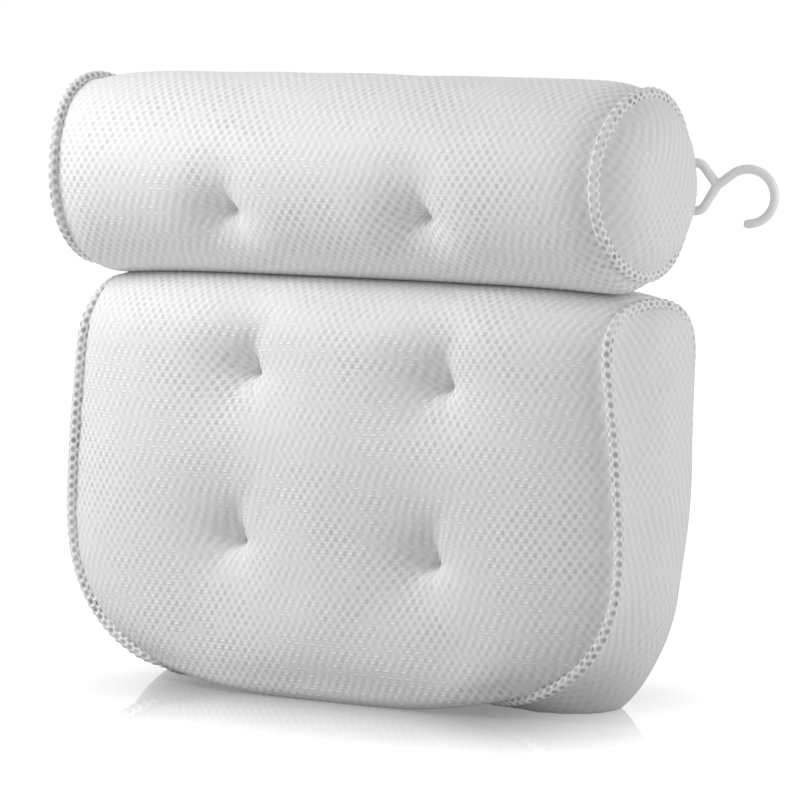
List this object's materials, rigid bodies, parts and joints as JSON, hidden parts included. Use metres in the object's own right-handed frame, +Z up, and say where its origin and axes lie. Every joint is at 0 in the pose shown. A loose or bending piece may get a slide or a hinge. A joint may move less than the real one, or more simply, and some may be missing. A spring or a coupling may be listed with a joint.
{
  "type": "bath pillow",
  "caption": "Two-part bath pillow: tufted air-mesh back cushion with a fold-back neck roll, suction cups behind and a hanging hook.",
  "frame": {"origin": "on the back cushion's flat underside, in the middle of the width", "axes": "+X along the width towards the hook's end, +Y towards the suction cups, +Z up"},
  "size_m": [0.384, 0.122, 0.3194],
  "materials": {
    "air_mesh": "knitted polyester air mesh",
    "binding": "folded mesh binding",
    "filling": "polyester fibre filling",
    "thread": "twisted thread",
    "webbing": "woven tape",
    "hook_plastic": "moulded",
    "clear_cup": "clear soft vinyl"
  },
  "bodies": {
    "cushion": {"cushion_wrap": "air_mesh", "cushion_side_left": "air_mesh", "cushion_side_right": "air_mesh", "cushion_binding_left": "binding", "cushion_binding_right": "binding", "cushion_tuft_tie_upper_left": "thread", "cushion_tuft_tie_upper_right": "thread", "cushion_tuft_tie_lower_left": "thread", "cushion_tuft_tie_lower_right": "thread", "cushion_filling": "filling", "joining_strip": "webbing", "cushion_cup_upper_left": "clear_cup", "cushion_cup_upper_right": "clear_cup", "cushion_cup_lower_left": "clear_cup", "cushion_cup_lower_right": "clear_cup", "cushion_cup_tab_upper_left": "webbing", "cushion_cup_tab_upper_right": "webbing", "cushion_cup_tab_lower_left": "webbing", "cushion_cup_tab_lower_right": "webbing"},
    "roll": {"roll_wrap": "air_mesh", "roll_end_left": "air_mesh", "roll_end_right": "air_mesh", "roll_binding_left": "binding", "roll_binding_right": "binding", "roll_tuft_tie_left": "thread", "roll_tuft_tie_right": "thread", "roll_filling": "filling", "roll_cup_left": "clear_cup", "roll_cup_right": "clear_cup", "roll_cup_tab_left": "webbing", "roll_cup_tab_right": "webbing", "hook_loop": "webbing"},
    "hook": {"hook": "hook_plastic"}
  },
  "joints": [
    {"name": "roll_fold", "type": "hinge", "parent": "cushion", "child": "roll", "pos_m": [0, 0.0252, 0.2173], "axis": [-1, 0, 0], "range_deg": [0, 90], "deforming": ["joining_strip"]},
    {"name": "hook_swing", "type": "hinge", "parent": "roll", "child": "hook", "pos_m": [0.155, 0.05525, 0.2644], "axis": [0, 0, 1], "range_deg": [-28, 137]}
  ]
}
